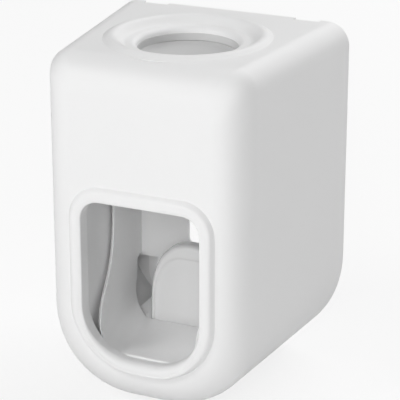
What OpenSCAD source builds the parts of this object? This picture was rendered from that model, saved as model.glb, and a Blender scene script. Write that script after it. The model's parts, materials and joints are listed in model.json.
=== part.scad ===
// Wall-mounted toothpaste dispenser with a brush-operated piston pump.
// Millimetres, +Z up. The origin is the middle of the flat rear face, which lies against the wall.
// The front face looks along -Y.

/* [Housing] */
// Width of the housing at the wall
back_w = 66; // [62:0.5:74]
// Width of the housing at its front face
front_w = 54; // [50:0.5:60]
// Height of the housing at the wall
body_h = 92; // [90:0.5:104]
// Depth from the wall to the front face
body_d = 55.5; // [54:0.5:66]
// Thickness of the housing wall
wall = 2.4; // [1.8:0.1:3]
// Radius of the two top edges at the wall
top_r = 6; // [4:0.5:9]
// Radius of the two bottom corners at the wall
bottom_r = 29; // [22:0.5:30]
// Squareness of the bottom corners, 2 is a true arc
bottom_e = 2.12; // [2:0.02:2.6]
// Blend radius around the front face
front_r = 8; // [5:0.5:9]
// Fall of the top from the wall to the front
top_fall = 0.6; // [0:0.1:1.5]
// Rise of the underside from the wall to the front
bottom_rise = 1.4; // [0:0.1:3]

/* [Window] */
// Width of the window
window_w = 32.4; // [28:0.2:35]
// Height of the upper edge of the window above the middle of the rear face
window_top = 9.3; // [6:0.1:11]
// Height of the lower edge of the window above the lowest point of the housing
window_rise = 13; // [12.4:0.1:15]
// Radius of the upper corners of the window
window_top_r = 5; // [3:0.5:8]
// Radius of the lower corners of the window
window_low_r = 13.5; // [12:0.5:15]
// Width of the rounded bead around the window
bead_w = 3.9; // [2.4:0.1:4]
// Height of the bead above the front face
bead_h = 1.3; // [0.6:0.1:2]

/* [Tube collar] */
// Distance of the tube axis from the wall plane
tube_d = 27.5; // [26:0.5:29]
// Radius of the crest of the ring on the top
ring_r = 19.25; // [18.5:0.25:20]
// Height of the crest above the top
ring_h = 0.9; // [0.5:0.1:1.6]
// Width of the ring
ring_w = 5; // [4:0.2:6]
// Radius of the hole for the tube
hole_r = 12.85; // [12:0.05:13.5]
// Depth of the dish from the ring's foot to the hole
dish_depth = 1.1; // [0.6:0.1:1.4]
// Length of the skirt below the top wall
skirt_len = 2; // [1.5:0.1:3]
// Radial thickness of the skirt
skirt_t = 2.2; // [1.6:0.1:2.6]
// Radius of the socket that takes the neck of the tube
neck_r = 6.5; // [5:0.1:7]
// Depth of the socket
neck_len = 3; // [2:0.1:3.5]

/* [Chute] */
// Gap between the sides of the window and the chute
chute_gap = 1.6; // [1:0.1:2]
// Distance of the chute's back wall from the wall plane
chute_rear = 10.5; // [10:0.1:11.5]
// Thickness of the chute
chute_t = 1.3; // [1.1:0.1:1.6]
// Height of the top of the lip above the window's lower edge
lip_rise = 0.8; // [0.4:0.1:2]
// Radius of the bowl's corners at the lip
bowl_front_r = 7; // [5:0.5:9]
// Radius of the bowl's corners at the back wall
bowl_rear_r = 5.5; // [4:0.5:7]
// Fall of the bowl floor behind the lip
bowl_fall = 1.2; // [0.4:0.1:2]
// Half width of the opening in the back wall
view_half = 7.9; // [6:0.1:8.4]
// Height of the lower edge of the opening in the back wall
view_low = -17; // [-18:0.1:-14]

/* [Push lever] */
// Distance of the lever's pin from the wall plane
pivot_d = 15; // [14.5:0.1:16]
// Height of the lever's pin
pivot_z = 2.5; // [2:0.1:3.5]
// Diameter of the lever's pin
pivot_dia = 3; // [2.5:0.1:3.4]
// Swing of the lever
swing = 14; // [8:0.5:14]
// Width of the pad
pad_w = 24.5; // [22:0.1:25]
// Height of the upper edge of the pad
pad_top = -11; // [-12:0.1:-10.5]
// Depth of the lower edge of the pad below the lip, inside the pocket of the floor
pad_dive = 3.3; // [2.6:0.1:3.8]
// Distance of the pad's face from the wall plane
pad_d = 26; // [25:0.1:27]
// Thickness of the pad
pad_t = 3; // [2.4:0.1:3.2]
// Radius of the pad's upper corners
pad_r = 6; // [4:0.5:8]
// Radius of the pad's lower corners
pad_low_r = 2; // [1.5:0.5:3]
// Distance of the lever's arms from the middle
arm_in = 10.2; // [10:0.1:10.6]
// Thickness of the lever's arms
arm_t = 3.5; // [2.6:0.1:3.6]

/* [Pump] */
// Height of the barrel's axis
barrel_z = 20; // [19.8:0.1:21]
// Bore of the barrel
barrel_bore = 12; // [10:0.1:12.4]
// Wall of the barrel
barrel_t = 1.75; // [1.2:0.05:1.8]
// Distance of the barrel's open end from the wall plane
barrel_end = 17.3; // [17:0.1:18]
// Bore of the paste channel
channel_bore = 9; // [7:0.1:9.4]
// Wall of the paste channel
channel_t = 2.3; // [1.6:0.1:2.5]
// Diameter of the piston rod
rod_dia = 6; // [5:0.1:6.4]
// Diameter of the cross pin
cross_dia = 2.4; // [2:0.1:2.6]
// Height of the cross pin's crosshead
crosshead_h = 5; // [4.4:0.1:5.6]
// Wire of the return spring
spring_wire = 0.7; // [0.5:0.05:0.8]
// Turns of the return spring
spring_turns = 5; // [4:0.5:5]

/* [Fasteners] */
// Diameter of the screw threads
screw_dia = 2.2; // [2:0.1:2.4]
// Diameter of the screw heads
screw_head = 4.6; // [4:0.1:5]
// Diameter of the screw posts
post_dia = 5.6; // [5:0.1:6]

/* [Clearances] */
// Gap between bodies that move past each other
run_gap = 0.4; // [0.3:0.05:0.5]
// Gap between fixed pieces that slide together
fit_gap = 0.2; // [0.1:0.05:0.3]
// Radial clearance of pins and pistons in their bores
pin_gap = 0.05; // [0.03:0.01:0.1]

/* [Hidden] */
eps = 0.01;
sides = 48;

// Planes of the body
top_z = body_h / 2;
base_z = -body_h / 2;
front_y = -body_d;
tube_y = -tube_d;
cover_t = wall;
top_at_tube = top_z - top_fall * tube_d / body_d;
roof_z = top_at_tube - wall;
window_low = base_z + window_rise;

// Ridges: depth of the root, lap of the bead over the window's edge, flat edge of the dish
ridge_root = 1;
bead_lap = 0.3;
bead_mid = bead_w / 2 - bead_lap;
dish_edge = 0.8;

// Rails inside the housing, which run back from the window's sides
rail_t = 1.2;
rail_step = 0.24;
rail_flare = 0.2;
rail_rear_y = front_y + 23.5;
rail_low = window_low + 11;

// Lever: arms, hub, ears of the hinge and the path of the cross pin
arm_out = arm_in + arm_t;
arm_back = 2.2;
bumper_gap = 0.3;
hub_r = 3.25;
ear_in = arm_out + 3.5 * run_gap;
ear_t = 2.5;
pivot_y = -pivot_d;
lever_rise = barrel_z - pivot_z;
cross_y = -6.5;
cross_reach = cross_y + pivot_d;
stroke = cross_reach - (cross_reach - lever_rise * sin(swing)) / cos(swing);
slot_drop = lever_rise - (lever_rise * cos(swing) - (cross_reach - stroke) * sin(swing));
pin_end = 1.4;
cross_end = 0.6;
clip_t = 0.7;
clip_r = pivot_dia / 2 + 1.3;
clip_gap = 1.2;

// Pad and the lever's block behind it
lip_z = window_low + lip_rise;
pad_low = lip_z - pad_dive;
pad_skin = 1.4;
pad_rim = 1.3;
pad_lip = 0.6;
tray_side = 1.9;
tray_top = 3.4;
tray_depth = 0.2;
foot_front_y = pivot_y - 2;
foot_low = pad_low + 6.5;
foot_top = pad_low + 13;
foot_root_x = arm_in - 2;
block_wall = 1.6;
block_low = pad_low + 4.5;
block_top = pad_top - 4;

// Deck under the pump
deck_t = 2;
deck_z = window_top + fit_gap;
deck_top = deck_z + deck_t;
deck_front_y = front_y + wall + 1;
deck_rear_y = -barrel_end - 1.2;
wing_rear_y = -8;

// Chute: its planes, its screw ears, the bay for the lever and the curve of its cheeks
chute_front_y = front_y + wall + 0.7;
chute_rear_y = -chute_rear;
chute_top = window_top;
bowl_z = lip_z - bowl_fall;
bowl_run = 16;
ear_r = 2.7;
chute_ear_x = half_at(chute_rear_y) - wall - ear_r - 0.55;
chute_ear_z = 3;
chute_front_half = window_w / 2 - chute_gap - chute_t;
chute_rear_half = chute_ear_x - ear_r - fit_gap - chute_t;
bay_gap = 0.8;
bay_top = foot_top + 2;
bay_front_y = pivot_y + 1;
bay_half = arm_out + bay_gap;
back_wall_top = pivot_z - hub_r - run_gap - 2.8;
view_r = 2.5;
cheek_back = 15.2;
cheek_top_z = window_top - 7.3;
cheek_low_z = window_low + 9;

// Pocket under the pad: the lower front edge of the pad dips by pad_dip as it swings
pad_front = pad_d + pad_lip - pivot_d;
pad_reach = pivot_z - pad_low;
pad_dip = sqrt(pad_front * pad_front + pad_reach * pad_reach) - pad_reach;
pocket_half = pad_w / 2 + run_gap + 0.1;
pocket_front_y = -pad_d - pad_lip - run_gap - 0.1;
pocket_low = pad_low - pad_dip - run_gap;
pocket_r = pad_low_r + run_gap;

// Pump: barrel, piston and rod guide
barrel_r = barrel_bore / 2;
barrel_out = barrel_r + barrel_t;
piston_r = barrel_r - pin_gap;
cap_t = 1.5;
cap_rim_t = 0.8;
head_len = 3.6;
groove_w = 1.6;
groove_depth = 1.2;
piston_rear_y = -barrel_end - cap_t - 0.1;
piston_face_y = piston_rear_y - head_len;
groove_y = piston_face_y + 1;
crosshead_gap = 0.7;
crosshead_front = 2.5;
crosshead_t = 4.7;

// Pump: paste channel, seat of the tube and valves
channel_r = channel_bore / 2;
channel_out = channel_r + channel_t;
chamber_front_y = tube_y - channel_r - 0.6;
seat_cone = 2.4;
seat_ledge = 2;
seat_rim_t = 1.1;
sleeve_t = 1.4;
ring_hook = 1.6;
clamp_t = 2;
inlet_top = roof_z - skirt_len - seat_cone - neck_len - seat_ledge;
spigot_r = channel_r + 1.2;
spigot_len = 2.4;
cap_out_r = spigot_r + 1.8;
plate_t = 2.4;
plate_rim_t = 0.8;
stem_r = 0.75;
disc_t = 0.85;
port_r = 0.9;
port_at = 2.7;
valve_flange_t = 1.2;
bill_r = 3;
bill_root = 3;
bill_len = 5;
bill_half = 2.6;
bill_skin = 0.6;
slit_t = 0.2;

// Rear cover: its opening, the collar round it and the notches for its tabs
rear_low = pad_low + 3.5;
rear_high = -2;
rear_r = 4;
collar_t = 1.6;
notch_x = 21.6;
notch_w = 7;
notch_t = 1.5;

// Screw places
deck_front_post_y = front_y + 9.5;
deck_rear_post_y = -12;
deck_front_post_x = half_at(deck_front_post_y) - wall - post_dia / 2 - 2.3;
deck_rear_post_x = half_at(deck_rear_post_y) - wall - post_dia / 2 - 0.2;
deck_posts = [
    for (side = [-1, 1])
        each [[side * deck_front_post_x, deck_front_post_y], [side * deck_rear_post_x, deck_rear_post_y]]
];
flange_half = 14;
flange_w = 12;
flange_r = 3;
flange_t = 2;
flange_edge = 2.6;
flange_screw_x = flange_half - flange_edge;
cover_low_z = -15;
cover_high_z = 32;
cover_screw_x = back_w / 2 - wall - 3.6;
screw_len = 7;
head_room = 1.8;
post_len = 11;
web_t = 1.6;

// How far a section at depth y is drawn in at each side by the taper
function taper_at(y) = (back_w - front_w) / 2 * -y / body_d;
function half_at(y) = back_w / 2 - taper_at(y);
function top_at(y) = top_z - top_fall * -y / body_d;
function low_at(y) = base_z + bottom_rise * -y / body_d;

// Points of one corner: centre, radius, exponent of roundness, start angle and step count
function corner(cx, cz, r, e, a0, n) = [
    for (i = [0:n])
        let (a = a0 + 90 * i / n, c = cos(a), s = sin(a))
        [cx + r * sign(c) * pow(abs(c), 2 / e), cz + r * sign(s) * pow(abs(s), 2 / e)]
];

// Closed outline of the body, seen along Y, with round top edges and large bottom corners
function outline(half, top, low, rt, rb, e, n) = concat(
    corner(half - rt, top - rt, rt, 2, 0, n),
    corner(-half + rt, top - rt, rt, 2, 90, n),
    corner(-half + rb, low + rb, rb, e, 180, 2 * n),
    corner(half - rb, low + rb, rb, e, 270, 2 * n)
);

// Outline of the skin at depth y, set in by inset; turn goes from 0 to 1 around the front edge
function skin(y, inset, turn, n) = let (drawn_in = inset + (front_r - inset) * turn) outline(
    half_at(y) - drawn_in, top_at(y) - drawn_in, low_at(y) + drawn_in,
    (top_r - inset) * (1 - 0.4 * turn), bottom_r - taper_at(y) - drawn_in, bottom_e, n
);

// Solid between closed sections of equal, even point count, given as [y, outline] from front to rear
module loft(sections) {
    n = len(sections[0][1]);
    m = len(sections);
    points = [for (s = sections) for (p = s[1]) [p[0], s[0], p[1]]];
    walls = [
        for (j = [0:m - 2]) for (i = [0:n - 1])
            let (k = (i + 1) % n)
            each [[j * n + i, j * n + k, (j + 1) * n + i], [j * n + k, (j + 1) * n + k, (j + 1) * n + i]]
    ];
    last = (m - 1) * n;
    ends = [
        for (i = [0:n / 2 - 2])
            let (a = i, b = i + 1, c = n - 2 - i, d = n - 1 - i)
            each [[a, d, b], [b, d, c], [last + a, last + b, last + d], [last + b, last + c, last + d]]
    ];
    polyhedron(points, concat(ends, walls));
}

// Outer form of the body, or its cavity when inset is the wall
module body_form(inset, rear_y, steps, n) {
    r = front_r - inset;
    turn_y = front_y + front_r;
    loft(concat(
        [for (i = [steps:-1:1])
            let (a = 90 * i / steps, y = turn_y - r * sin(a))
            [y, skin(y, inset, 1 - cos(a), n)]],
        [[turn_y, skin(turn_y, inset, 0, n)], [rear_y, skin(rear_y, inset, 0, n)]]
    ));
}

// Flat panel from low to high with true arcs: lower corners of radius rl, upper corners of radius rh
module panel_flat(half, low, high, rl, rh) {
    for (side = [-1, 1]) {
        translate([side * (half - rh), high - rh]) circle(rh, $fn = sides);
        translate([side * (half - rl), low + rl]) circle(rl, $fn = 2 * sides);
    }
    translate([-half, low + rl]) square([2 * half, high - rh - low - rl]);
    translate([-half + rh, low + rl]) square([2 * (half - rh), high - low - rl]);
    translate([-half + rl, low]) square([2 * (half - rl), high - low - rh]);
}

// Cross section of a low round ridge of width w and height h on the line y = 0, with its root below it
module ridge_flat(w, h) {
    r = (w * w / 4 + h * h) / (2 * h);
    intersection() {
        translate([0, h - r]) circle(r, $fn = 2 * sides);
        translate([-w, -ridge_root]) square([2 * w, ridge_root + h + 1]);
    }
}

// Straight run of the bead: its middle line starts at [x, z], is len long and turned by a degrees
module bead_run(x, z, a, len) {
    translate([x, 0, z]) rotate([0, 90 - a, 0]) linear_extrude(len)
        rotate(180) ridge_flat(bead_w, bead_h);
}

// Quarter of the bead around [x, z], from a degrees on
module bead_turn(x, z, r, a) {
    translate([x, 0, z]) rotate([90, 0, 0]) rotate([0, 0, a]) rotate_extrude(angle = 90, $fn = 2 * sides)
        translate([r + bead_mid, 0]) ridge_flat(bead_w, bead_h);
}

// Rounded bead around the window
module window_bead() {
    half = window_w / 2;
    high = window_top + bead_mid;
    low = window_low - bead_mid;
    rise = window_top - window_low - window_top_r - window_low_r;
    translate([0, front_y, 0]) {
        for (side = [0, 1]) mirror([side, 0, 0]) {
            bead_turn(half - window_top_r, window_top - window_top_r, window_top_r, 0);
            bead_turn(half - window_low_r, window_low + window_low_r, window_low_r, 270);
            bead_run(half + bead_mid, window_low + window_low_r, 90, rise);
        }
        bead_run(-half + window_top_r, high, 0, window_w - 2 * window_top_r);
        bead_run(-half + window_low_r, low, 0, window_w - 2 * window_low_r);
    }
}

// Round rectangle with true arcs, centred
module round_rect(w, h, r) {
    square([w - 2 * r, h], center = true);
    square([w, h - 2 * r], center = true);
    for (x = [-1, 1]) for (y = [-1, 1])
        translate([x * (w / 2 - r), y * (h / 2 - r)]) circle(r, $fn = sides);
}

// Turns a shape drawn in X and Z so that it is extruded along Y from y0 to y1
module along_y(y0, y1) {
    translate([0, y1, 0]) rotate([90, 0, 0]) linear_extrude(y1 - y0) children();
}

// Turns a shape drawn in Y and Z so that it is extruded along X from x0 to x1
module along_x(x0, x1) {
    translate([x0, 0, 0]) rotate([90, 0, 90]) linear_extrude(x1 - x0) children();
}

// Cylinder along Y
module rod_y(r, y0, y1) {
    translate([0, y1, 0]) rotate([90, 0, 0]) cylinder(r = r, h = y1 - y0, $fn = sides);
}

// Cylinder along X
module rod_x(r, x0, x1) {
    translate([x0, 0, 0]) rotate([0, 90, 0]) cylinder(r = r, h = x1 - x0, $fn = sides);
}

// Screw along +Z: the underside of its head is at the origin
module screw(len) {
    translate([0, 0, -len]) cylinder(d = screw_dia, h = len + eps, $fn = 24);
    difference() {
        cylinder(d1 = screw_head, d2 = screw_head * 0.8, h = screw_head * 0.35, $fn = 32);
        for (a = [0, 90]) rotate(a)
            translate([-screw_head * 0.3, -0.3, screw_head * 0.15]) cube([screw_head * 0.6, 0.6, 2]);
    }
}

// Post with a pilot hole along +Z
module post(len) {
    difference() {
        cylinder(d = post_dia, h = len, $fn = 32);
        translate([0, 0, -eps]) cylinder(d = screw_dia + fit_gap, h = screw_len + 1, $fn = 24);
    }
}

module tube_ring() {
    translate([0, tube_y, top_at_tube]) rotate_extrude($fn = 2 * sides)
        translate([ring_r, 0]) ridge_flat(ring_w, ring_h);
}

// Dish inside the ring, down to the hole
module dish_cut() {
    foot = ring_r - ring_w / 2 - 0.2;
    translate([0, tube_y, top_at_tube]) {
        rotate_extrude($fn = 2 * sides)
            polygon([[0, -dish_depth], [hole_r + dish_edge, -dish_depth], [foot, -0.05], [foot, 3], [0, 3]]);
        translate([0, 0, -wall - skirt_len - 1])
            cylinder(r = hole_r, h = wall + skirt_len + 2, $fn = 2 * sides);
    }
}

module tube_skirt() {
    translate([0, tube_y, roof_z - skirt_len])
        cylinder(r = hole_r + skirt_t, h = skirt_len + wall / 2, $fn = 2 * sides);
}

// Places of the notches in the rear edge of the top
module at_notches() {
    for (side = [-1, 1]) translate([side * notch_x, 0, 0]) children();
}

// Post along Y that a web joins to the side wall, with a pilot hole from its rear end
module side_post(x, rear_y, z) {
    reach = half_at(rear_y - post_len) - wall / 2 - x;
    for (side = [-1, 1]) translate([side * x, rear_y - post_len, z]) difference() {
        union() {
            rotate([-90, 0, 0]) cylinder(d = post_dia, h = post_len, $fn = 32);
            translate([side > 0 ? 0 : -reach, 0, -web_t / 2]) cube([reach, post_len, web_t]);
        }
        translate([0, post_len - screw_len, 0]) rotate([-90, 0, 0])
            cylinder(d = screw_dia + fit_gap, h = screw_len + 1, $fn = 24);
    }
}

// Rails beside the chute, lower behind the window so that the deck's screws pass over them
module side_rails() {
    y0 = front_y + wall / 2;
    x0 = window_w / 2 + rail_step - rail_flare * wall / 2;
    x1 = x0 + rail_flare * (rail_rear_y - y0);
    notch_y = deck_front_post_y - screw_head / 2 - 1;
    notch_z = deck_z - screw_head / 2;
    for (side = [0, 1]) mirror([side, 0, 0]) difference() {
        translate([0, 0, rail_low]) linear_extrude(window_top - rail_low)
            polygon([[x0, y0], [x0 + rail_t, y0], [x1 + rail_t, rail_rear_y], [x1, rail_rear_y]]);
        translate([x0 - 1, notch_y, notch_z])
            cube([x1 - x0 + rail_t + 2, rail_rear_y - notch_y + 1, window_top]);
    }
}

module housing() {
    color("white") difference() {
        union() {
            difference() {
                body_form(0, 0, 7, 7);
                body_form(wall, 1, 4, 5);
            }
            window_bead();
            tube_ring();
            tube_skirt();
            side_rails();
            for (p = deck_posts)
                translate([p[0], p[1], deck_top]) post(top_at(p[1]) - wall / 2 - deck_top);
            side_post(cover_screw_x, -cover_t, cover_low_z);
            side_post(cover_screw_x, -cover_t, cover_high_z);
            side_post(chute_ear_x, chute_rear_y, chute_ear_z);
        }
        along_y(front_y - 3, front_y + wall + 3)
            panel_flat(window_w / 2, window_low, window_top, window_low_r, window_top_r);
        dish_cut();
        at_notches() translate([-notch_w / 2, -notch_t, top_z - wall - 2]) cube([notch_w, 3, wall + 4]);
    }
}

// Rear outline of the cavity, drawn in by gap
module mouth_flat(gap, y) {
    polygon(skin(y, wall + gap, 0, 8));
}

module rear_cover() {
    half = arm_out + 1.8;
    tab_w = notch_w - 2 * fit_gap;
    tab_t = notch_t - fit_gap;
    color("whitesmoke") difference() {
        union() {
            along_y(-cover_t, 0) mouth_flat(fit_gap, -cover_t);
            at_notches() translate([-tab_w / 2, -tab_t, top_z - wall - 1.5]) cube([tab_w, tab_t, wall + 0.7]);
            along_y(-cover_t - collar_t, -cover_t + eps) difference() {
                round_opening(half + collar_t, rear_low - collar_t, rear_high + collar_t, rear_r + collar_t);
                round_opening(half, rear_low, rear_high, rear_r);
            }
        }
        along_y(-cover_t - 3, 1) round_opening(half, rear_low, rear_high, rear_r);
        for (side = [-1, 1]) for (z = [cover_low_z, cover_high_z])
            translate([side * cover_screw_x, 0, z]) rotate([-90, 0, 0]) {
                translate([0, 0, -cover_t - 1]) cylinder(d = screw_dia + 2 * fit_gap, h = 5, $fn = 24);
                translate([0, 0, -head_room]) cylinder(d = screw_head + 2 * fit_gap, h = 3, $fn = 32);
            }
    }
}

module round_opening(half, low, high, r) {
    translate([0, (low + high) / 2]) round_rect(2 * half, high - low, r);
}

// Cross section of the chute: an open trough with wall t, inner half width and floor height
function trough(half, floor_z, r, t, top, n) = concat(
    [[half, top]],
    [for (i = [n:-1:0]) let (a = 270 + 90 * i / n) [half - r + r * cos(a), floor_z + r + r * sin(a)]],
    [for (i = [n:-1:0]) let (a = 180 + 90 * i / n) [-half + r + r * cos(a), floor_z + r + r * sin(a)]],
    [[-half, top], [-half - t, top]],
    [for (i = [0:n]) let (a = 180 + 90 * i / n)
        [-half + r + (r + t) * cos(a), floor_z + r + (r + t) * sin(a)]],
    [for (i = [0:n]) let (a = 270 + 90 * i / n)
        [half - r + (r + t) * cos(a), floor_z + r + (r + t) * sin(a)]],
    [[half + t, top]]
);

function chute_half(y) = chute_front_half
    + (chute_rear_half - chute_front_half) * (y - chute_front_y) / (chute_rear_y - chute_front_y);

function bowl_floor(y) = lip_z - bowl_fall * min(1, (y - chute_front_y) / bowl_run);

function bowl_r(y) = bowl_front_r
    + (bowl_rear_r - bowl_front_r) * (y - chute_front_y) / (chute_rear_y - chute_front_y);

// Point on a cubic curve
function cubic(a, b, c, d, t) = pow(1 - t, 3) * a + 3 * t * pow(1 - t, 2) * b
    + 3 * t * t * (1 - t) * c + pow(t, 3) * d;

// Front edge of the cheeks, seen from the side: upright above, sweeping forward to the lip
module cheek_cut() {
    rise = cheek_top_z - cheek_low_z;
    a = [chute_front_y + cheek_back - 0.4, cheek_top_z];
    b = a + [-0.02 * cheek_back, -0.62 * rise];
    c = [chute_front_y + 0.52 * cheek_back, cheek_low_z + 0.27 * rise];
    d = [chute_front_y - 0.4, cheek_low_z];
    curve = [for (i = [0:16]) cubic(a, b, c, d, i / 16)];
    along_x(-back_w / 2, back_w / 2)
        polygon(concat([[a[0], chute_top + 2]], curve, [[front_y, d[1]], [front_y, chute_top + 2]]));
}

module chute_back() {
    outer = chute_rear_half + chute_t / 2;
    along_y(chute_rear_y, chute_rear_y + chute_t) difference() {
        panel_flat(outer, bowl_z - chute_t / 2, back_wall_top, bowl_rear_r + chute_t / 2, 1);
        round_opening(view_half, view_low, back_wall_top - view_r, view_r);
    }
}

module chute_ears() {
    for (side = [-1, 1]) translate([side * chute_ear_x, chute_rear_y, chute_ear_z])
        difference() {
            union() {
                rotate([-90, 0, 0]) cylinder(r = ear_r, h = chute_t, $fn = 32);
                translate([side > 0 ? -ear_r - 0.6 : 0, 0, -ear_r]) cube([ear_r + 0.6, chute_t, 2 * ear_r]);
            }
            translate([0, -1, 0]) rotate([-90, 0, 0])
                cylinder(d = screw_dia + 2 * fit_gap, h = chute_t + 2, $fn = 24);
        }
}

module brush_chute() {
    stations = [chute_front_y, chute_front_y + bowl_run, chute_rear_y + chute_t];
    color("white") difference() {
        union() {
            difference() {
                loft([for (y = stations)
                    [y, trough(chute_half(y), bowl_floor(y), bowl_r(y), chute_t, chute_top, 8)]]);
                cheek_cut();
            }
            chute_back();
            chute_ears();
            pocket_shell();
        }
        translate([-bay_half, bay_front_y, base_z]) cube([2 * bay_half, -bay_front_y, bay_top - base_z]);
        along_y(pocket_front_y, bay_front_y + 1) pocket_flat(0);
    }
}

// Outline of the pocket under the pad, grown by more
module pocket_flat(more) {
    panel_flat(pocket_half + more, pocket_low - more, pad_top, pocket_r + more, pocket_r);
}

// Walls of the pocket, which end inside the thickness of the floor
module pocket_shell() {
    front = pocket_front_y - chute_t;
    intersection() {
        along_y(front, bay_front_y + 0.5) pocket_flat(chute_t);
        translate([-back_w / 2, front - 1, base_z]) cube([back_w, body_d, bowl_z - 0.2 - base_z]);
    }
}

// Pad outline, set in at its sides and lower edge by side_in and at its upper edge by top_in
module pad_flat(side_in, top_in) {
    panel_flat(
        pad_w / 2 - side_in, pad_low + side_in, pad_top - top_in,
        max(pad_low_r - side_in, 0.4), pad_r - side_in
    );
}

module push_pad() {
    face_y = -pad_d;
    color("white") difference() {
        union() {
            along_y(face_y, face_y + pad_t) pad_flat(0, 0);
            along_y(face_y - pad_lip, face_y + eps) pad_flat(0.5, 0.5);
        }
        along_y(face_y - 2, face_y + tray_depth) pad_flat(tray_side, tray_top);
        along_y(face_y + pad_skin, face_y + pad_t + 1) pad_flat(pad_rim, pad_rim);
    }
}

// Side profile of the lever's arms: lower arm, hub and upper arm
module arm_flat() {
    back_y = chute_rear_y + chute_t + run_gap;
    polygon([
        [foot_front_y, foot_low], [foot_front_y, foot_top], [back_y, foot_top],
        [back_y, pivot_z - 5.5], [pivot_y + 2, pivot_z - 4.1],
        [pivot_y - 2, pivot_z + 2.4], [cross_y - 2.7, barrel_z + 2.6],
        [cross_y + arm_back, barrel_z + 2.6], [cross_y + arm_back, barrel_z - 4],
        [pivot_y + 6, pivot_z + 1], [pivot_y + 9.1, pivot_z - 6.5],
        [pivot_y + 8.6, foot_low + 8], [pivot_y + 7, foot_low]
    ]);
    translate([pivot_y, pivot_z]) circle(hub_r, $fn = sides);
}

module push_lever() {
    slot_w = cross_dia + 0.5;
    slot_top = barrel_z + slot_w / 2 + 0.2;
    slot_low = barrel_z - slot_drop - slot_w / 2 - 0.2;
    color("white") difference() {
        union() {
            for (side = [-1, 1]) along_x(side > 0 ? arm_in : -arm_out, side > 0 ? arm_out : -arm_in)
                arm_flat();
            translate([0, pivot_y, pivot_z]) rod_x(hub_r, -arm_out, arm_out);
            for (side = [-1, 1]) translate([side > 0 ? foot_root_x : -arm_out, foot_front_y - 2, foot_low])
                cube([arm_out - foot_root_x, 4, foot_top - foot_low]);
            lever_block();
        }
        translate([0, pivot_y, pivot_z]) rod_x(pivot_dia / 2 + pin_gap, -arm_out - 1, arm_out + 1);
        along_x(-arm_out - 1, arm_out + 1)
            translate([cross_y - slot_w / 2, slot_low]) square([slot_w, slot_top - slot_low]);
    }
}

// Hollow block that plugs into the pad from behind
module lever_block() {
    front_y = -pad_d + pad_skin + fit_gap;
    half = pad_w / 2 - pad_rim - fit_gap;
    difference() {
        along_y(front_y, foot_front_y) round_opening(half, block_low, block_top, 4);
        along_y(front_y - 1, foot_front_y - block_wall)
            round_opening(half - block_wall, block_low + block_wall, block_top - block_wall, 2.4);
    }
}

module lever_pin() {
    color("silver") translate([0, pivot_y, pivot_z])
        rod_x(pivot_dia / 2, -ear_in - ear_t - pin_end, ear_in + ear_t + pin_end);
}

module pin_clips() {
    color("silver") for (side = [-1, 1])
        translate([side * (ear_in + ear_t + clip_t), pivot_y, pivot_z]) difference() {
            rod_x(clip_r, -clip_t / 2, clip_t / 2);
            rod_x(pivot_dia / 2, -clip_t, clip_t);
            translate([-clip_t, -clip_gap / 2, 0]) cube([2 * clip_t, clip_gap, clip_r + 1]);
        }
}

module pump_deck() {
    front_half = half_at(deck_front_y) - wall - 3.2;
    rear_half = half_at(wing_rear_y) - wall - fit_gap - 0.8;
    notch = arm_out + 0.8;
    color("whitesmoke") difference() {
        union() {
            translate([0, 0, deck_z]) linear_extrude(deck_t) polygon([
                [-front_half, deck_front_y + 3], [front_half, deck_front_y + 3],
                [rear_half, wing_rear_y], [notch, wing_rear_y], [notch, deck_rear_y],
                [-notch, deck_rear_y], [-notch, wing_rear_y], [-rear_half, wing_rear_y]
            ]);
            for (side = [-1, 1])
                along_x(side > 0 ? ear_in : -ear_in - ear_t, side > 0 ? ear_in + ear_t : -ear_in) {
                    translate([pivot_y, pivot_z]) circle(hub_r + 0.4, $fn = sides);
                    translate([pivot_y - hub_r - 0.4, pivot_z])
                        square([2 * hub_r + 0.8, deck_z + deck_t / 2 - pivot_z]);
                }
        }
        translate([0, pivot_y, pivot_z])
            rod_x(pivot_dia / 2 + pin_gap, -ear_in - ear_t - 1, ear_in + ear_t + 1);
        translate([0, tube_y, deck_z - 1]) cylinder(r = spigot_r + fit_gap, h = deck_t + 2, $fn = sides);
        for (p = deck_posts) translate([p[0], p[1], deck_z - 1])
            cylinder(d = screw_dia + 2 * fit_gap, h = deck_t + 2, $fn = 24);
        for (side = [-1, 1]) translate([side * flange_screw_x, tube_y, deck_z - 1])
            cylinder(d = screw_dia + fit_gap, h = deck_t + 2, $fn = 24);
    }
}

module pump_body() {
    color("whitesmoke") difference() {
        union() {
            translate([0, 0, barrel_z]) rod_y(barrel_out, chamber_front_y - barrel_t, -barrel_end);
            translate([0, tube_y, deck_top])
                cylinder(r = channel_out, h = inlet_top - deck_top, $fn = sides);
            translate([0, tube_y, deck_z - spigot_len])
                cylinder(r = spigot_r, h = spigot_len + deck_t + flange_t / 2, $fn = sides);
            translate([0, tube_y, deck_top]) linear_extrude(flange_t)
                round_rect(2 * flange_half, flange_w, flange_r);
        }
        translate([0, 0, barrel_z]) rod_y(barrel_r, chamber_front_y, -barrel_end + 1);
        translate([0, tube_y, deck_z - 4])
            cylinder(r = channel_r - 1, h = barrel_z - deck_z + 4, $fn = sides);
        translate([0, tube_y, barrel_z]) cylinder(r = channel_r, h = inlet_top - barrel_z + 1, $fn = sides);
        for (side = [-1, 1]) translate([side * flange_screw_x, tube_y, deck_top - 1])
            cylinder(d = screw_dia + 2 * fit_gap, h = flange_t + 2, $fn = 24);
    }
}

// Rod guide that closes the rear end of the barrel
module barrel_cap() {
    color("whitesmoke") translate([0, 0, barrel_z]) difference() {
        union() {
            rod_y(barrel_r - pin_gap, -barrel_end - cap_t, -barrel_end + 0.4);
            rod_y(barrel_out, -barrel_end, -barrel_end + cap_rim_t);
        }
        rod_y(rod_dia / 2 + pin_gap, -barrel_end - cap_t - 1, -barrel_end + 3);
    }
}

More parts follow.
